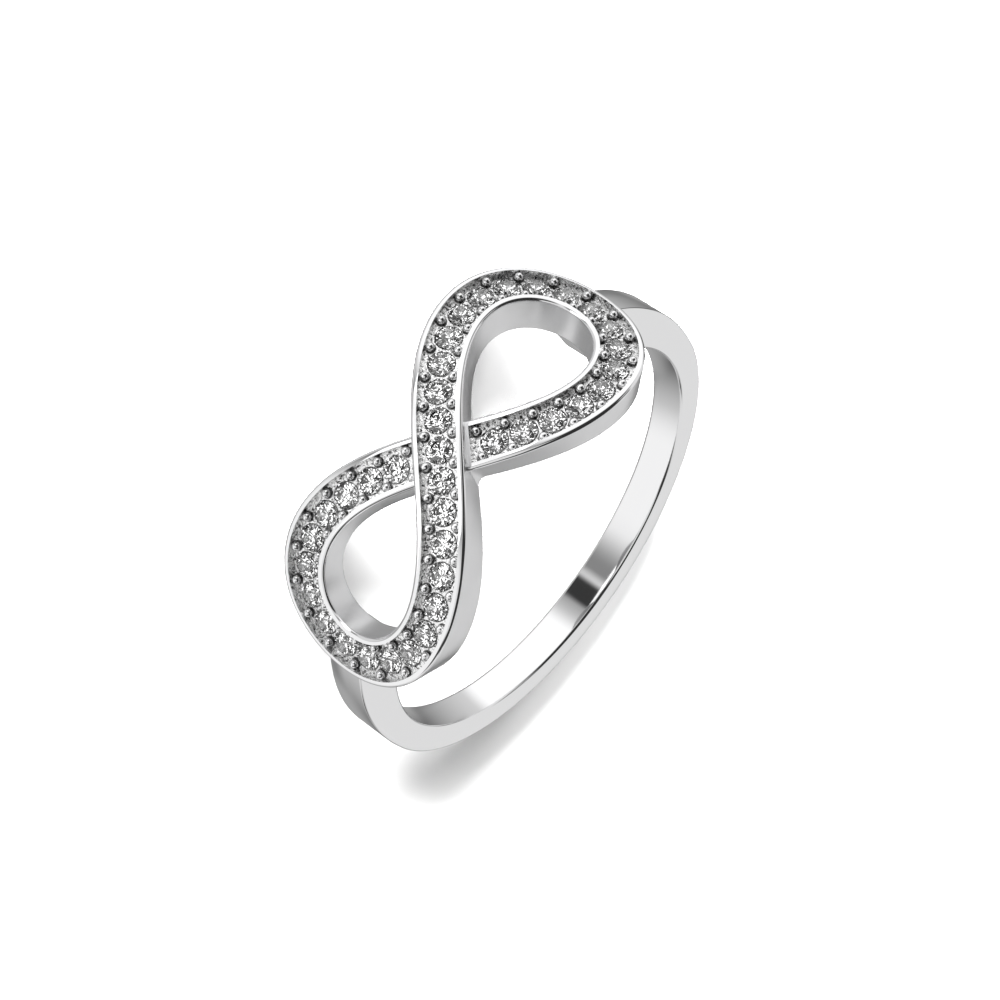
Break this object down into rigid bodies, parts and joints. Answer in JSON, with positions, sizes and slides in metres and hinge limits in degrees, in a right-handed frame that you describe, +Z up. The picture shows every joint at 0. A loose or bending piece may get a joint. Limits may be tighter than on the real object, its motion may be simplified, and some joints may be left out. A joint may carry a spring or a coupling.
{
  "type": "infinity ring",
  "caption": "Finger ring with an open infinity-shaped head, a row of small round stones set in its channel, and a plain narrow band with flat sides.",
  "frame": {"origin": "middle of the footprint, on the surface that the ring lies on", "axes": "+Z up, +X along the head, -Y towards the head, with the ring lying on its side and the finger's axis tilted in the Y-Z plane"},
  "size_m": [0.0198, 0.0214, 0.0079],
  "materials": {
    "silver": "polished, rhodium-plated silver with a fine-grained dark floor in the channel",
    "stone": "clear, cut and polished cubic zirconia"
  },
  "bodies": {
    "root": {"ring_body": "silver", "stone_01": "stone", "stone_02": "stone", "stone_03": "stone", "stone_04": "stone", "stone_05": "stone", "stone_06": "stone", "stone_07": "stone", "stone_08": "stone", "stone_09": "stone", "stone_10": "stone", "stone_11": "stone", "stone_12": "stone", "stone_13": "stone", "stone_14": "stone", "stone_15": "stone", "stone_16": "stone", "stone_17": "stone", "stone_18": "stone", "stone_19": "stone", "stone_20": "stone", "stone_21": "stone", "stone_22": "stone", "stone_23": "stone", "stone_24": "stone", "stone_25": "stone", "stone_26": "stone", "stone_27": "stone", "stone_28": "stone", "stone_29": "stone", "stone_30": "stone", "stone_31": "stone", "stone_32": "stone", "stone_33": "stone", "stone_34": "stone", "stone_35": "stone", "stone_36": "stone", "stone_37": "stone"}
  },
  "joints": []
}
